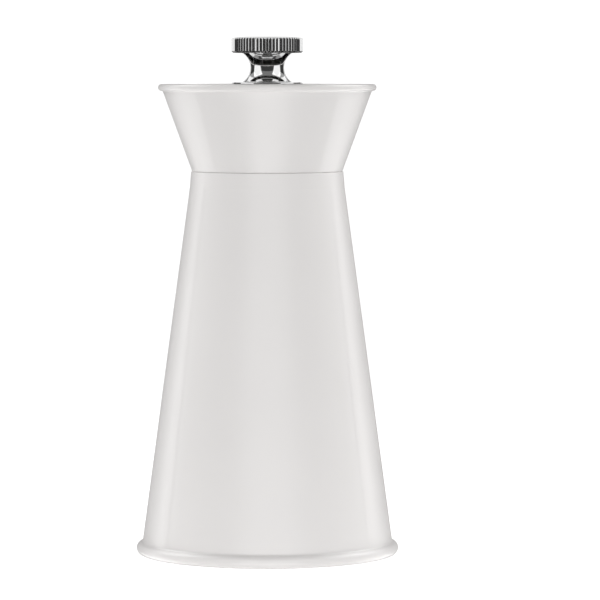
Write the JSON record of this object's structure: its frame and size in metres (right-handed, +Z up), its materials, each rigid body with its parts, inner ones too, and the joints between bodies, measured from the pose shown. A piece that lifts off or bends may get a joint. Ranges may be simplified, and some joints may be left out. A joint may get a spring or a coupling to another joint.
{
  "type": "pepper mill",
  "caption": "Free-standing hand pepper mill: white metal cone body with a rolled foot bead, a flared turning head, a chrome knurled finial nut and a ceramic burr grinder.",
  "frame": {"origin": "centre of the plane that the mill stands on", "axes": "+Z up along the mill's axis, from the foot to the knob; +X and +Y have no feature of their own outside, and +X runs along the crossbar under the burrs"},
  "size_m": [0.076, 0.076, 0.15],
  "materials": {
    "shell_paint": "satin-gloss white stove enamel on steel sheet",
    "bright_chrome": "bright chrome plating",
    "plain_steel": "bright drawn or blanked stainless steel",
    "screw_steel": "zinc-plated steel",
    "burr_ceramic": "unglazed sintered off-white ceramic",
    "natural_acetal": "moulded natural acetal",
    "white_plastic": "moulded white polypropylene, light texture",
    "dark_nylon": "moulded dark grey nylon",
    "grey_rubber": "matt moulded silicone rubber"
  },
  "bodies": {
    "body": {"body_shell": "shell_paint", "neck_ring": "natural_acetal", "hopper_liner": "white_plastic", "hopper_funnel": "white_plastic", "base_insert": "white_plastic", "foot_pad": "grey_rubber", "grinder_housing": "dark_nylon", "housing_screws": "screw_steel", "stator_ring": "burr_ceramic", "clamp_ring": "dark_nylon", "crossbar": "plain_steel", "crossbar_screws": "screw_steel"},
    "drive": {"drive_bush": "natural_acetal"},
    "spindle": {"spindle": "plain_steel", "rotor": "burr_ceramic", "rotor_hub": "dark_nylon", "spring": "plain_steel", "spring_washer": "plain_steel", "end_washer": "plain_steel", "retaining_clip": "plain_steel"},
    "head": {"head_shell": "shell_paint", "head_top_plate": "shell_paint", "head_core": "white_plastic", "head_seal": "grey_rubber", "drive_plate": "plain_steel", "drive_plate_screws": "screw_steel"},
    "washer": {"knob_washer": "bright_chrome"},
    "knob": {"knob": "bright_chrome"}
  },
  "joints": [
    {"name": "head_turn", "type": "hinge", "parent": "body", "child": "drive", "pos_m": [0, 0, 0.026], "axis": [0, 0, 1], "continuous": true},
    {"name": "grind_adjust", "type": "slide", "parent": "drive", "child": "spindle", "axis": [0, 0, 1], "range_m": [-0.0016, 0], "deforming": ["spring"]},
    {"name": "head_lift", "type": "slide", "parent": "drive", "child": "head", "axis": [0, 0, 1], "range_m": [0, 0.06]},
    {"name": "knob_lift", "type": "slide", "parent": "head", "child": "washer", "axis": [0, 0, 1], "range_m": [0, 0.014]},
    {"name": "knob_turn", "type": "hinge", "parent": "washer", "child": "knob", "pos_m": [0, 0, 0.1368], "axis": [0, 0, 1], "range_deg": [0, 720]}
  ],
  "couplings": [
    {"joint": "knob_turn", "follows": "grind_adjust", "rad_per_m": -7854}
  ]
}
